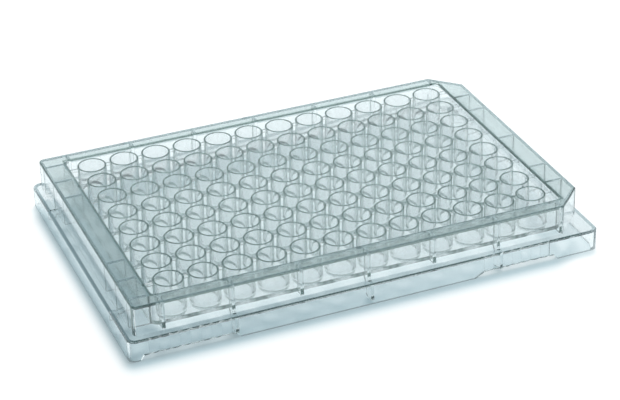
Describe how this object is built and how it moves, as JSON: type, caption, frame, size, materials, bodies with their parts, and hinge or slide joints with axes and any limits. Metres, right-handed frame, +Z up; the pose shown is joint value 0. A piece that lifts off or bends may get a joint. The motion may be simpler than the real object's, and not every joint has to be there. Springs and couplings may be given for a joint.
{
  "type": "well plate",
  "caption": "Clear moulded laboratory well plate with round flat-bottomed wells in a grid, a raised tier with two cut corners and a foot flange with reeded grips.",
  "frame": {"origin": "centre of the footprint, on the plane that the plate stands on", "axes": "+X along a row of wells from column 1 to the cut-corner end, +Y towards row A at the back, +Z up"},
  "size_m": [0.1278, 0.0854, 0.0142],
  "materials": {
    "clear_plastic": "polished, crystal clear"
  },
  "bodies": {
    "root": {"plate": "clear_plastic"}
  },
  "joints": []
}
